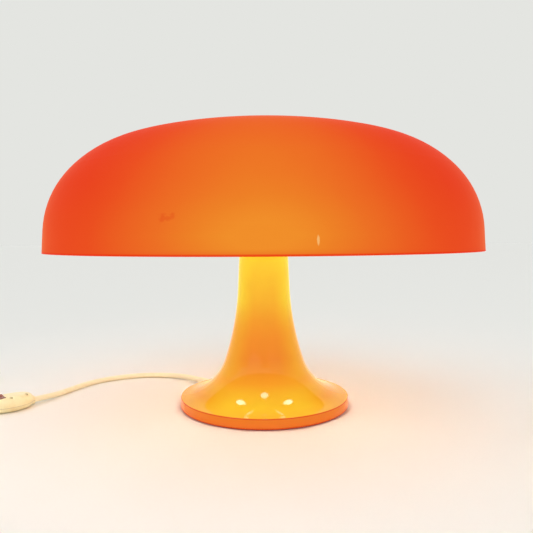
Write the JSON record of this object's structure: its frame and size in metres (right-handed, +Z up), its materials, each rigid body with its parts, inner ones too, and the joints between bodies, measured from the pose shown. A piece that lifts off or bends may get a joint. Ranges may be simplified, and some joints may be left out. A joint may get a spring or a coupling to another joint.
{
  "type": "table lamp",
  "caption": "Mushroom table lamp with a broad domed translucent shade, a flared hollow column and round foot, level bulbs inside, and a cord with inline switch and plug.",
  "frame": {"origin": "centre of the face that the foot's pad rests on", "axes": "+Z up along the lamp's axis; the pictured front faces -Y; the cord leaves the foot at the back left, between +Y and -X"},
  "size_m": [0.7565, 0.54, 0.355],
  "materials": {
    "shade_plastic": "glossy translucent orange",
    "column_plastic": "glossy translucent orange",
    "painted_steel": "satin light grey paint",
    "pad_rubber": "matt",
    "iron": "rough cast",
    "zinc_steel": "zinc plated",
    "white_plastic": "moulded",
    "brass": "bright",
    "nickel_brass": "nickel plated",
    "bulb_cap_metal": "bright",
    "black_insulator": "vitrified",
    "bulb_glass": "frosted",
    "wire": "brown insulation",
    "cord_cream": "satin cream sheath",
    "tie_plastic": "satin",
    "switch_cream": "satin cream",
    "rocker_brown": "satin red-brown"
  },
  "bodies": {
    "lamp": {"ballast": "iron", "ballast_screws": "zinc_steel", "base_pad": "pad_rubber", "base_plate": "painted_steel", "base_screws": "zinc_steel", "bulb_cap_back": "bulb_cap_metal", "bulb_cap_front": "bulb_cap_metal", "bulb_cap_left": "bulb_cap_metal", "bulb_cap_right": "bulb_cap_metal", "bulb_glass_back": "bulb_glass", "bulb_glass_front": "bulb_glass", "bulb_glass_left": "bulb_glass", "bulb_glass_right": "bulb_glass", "bulb_insulators": "black_insulator", "bulb_tips": "brass", "clamp_screws": "zinc_steel", "coil_tie": "tie_plastic", "column": "column_plastic", "cord_clamp": "white_plastic", "cord_coil": "cord_cream", "cord_end": "cord_cream", "cord_gland": "cord_cream", "cord_lead": "cord_cream", "cord_stub": "cord_cream", "cord_tail": "cord_cream", "harness": "wire", "holder_contacts": "brass", "holder_leads": "wire", "holder_nuts": "white_plastic", "hub_body": "white_plastic", "hub_cap": "white_plastic", "hub_connector": "white_plastic", "hub_screws": "zinc_steel", "lampholder_back": "white_plastic", "lampholder_front": "white_plastic", "lampholder_left": "white_plastic", "lampholder_right": "white_plastic", "plug_body": "switch_cream", "plug_pins": "nickel_brass", "plug_relief": "switch_cream", "rocker_pin": "zinc_steel", "switch_contacts": "brass", "switch_lower": "switch_cream", "switch_screws": "zinc_steel", "switch_upper": "switch_cream", "terminal_block": "white_plastic", "terminal_screws": "brass", "tie_lower_nut": "zinc_steel", "tie_tube": "zinc_steel", "tie_upper_nut": "zinc_steel", "tie_washers": "zinc_steel"},
    "shade": {"shade": "shade_plastic", "shade_collar": "shade_plastic"},
    "rocker": {"switch_rocker": "rocker_brown"}
  },
  "joints": [
    {"name": "shade_lift", "type": "slide", "parent": "lamp", "child": "shade", "axis": [0, 0, 1], "range_m": [0, 0.18]},
    {"name": "rocker_tilt", "type": "hinge", "parent": "lamp", "child": "rocker", "pos_m": [-0.33448, -0.0339, 0.0148], "axis": [0.7071, 0.7071, 0], "range_deg": [-13, 0]}
  ]
}
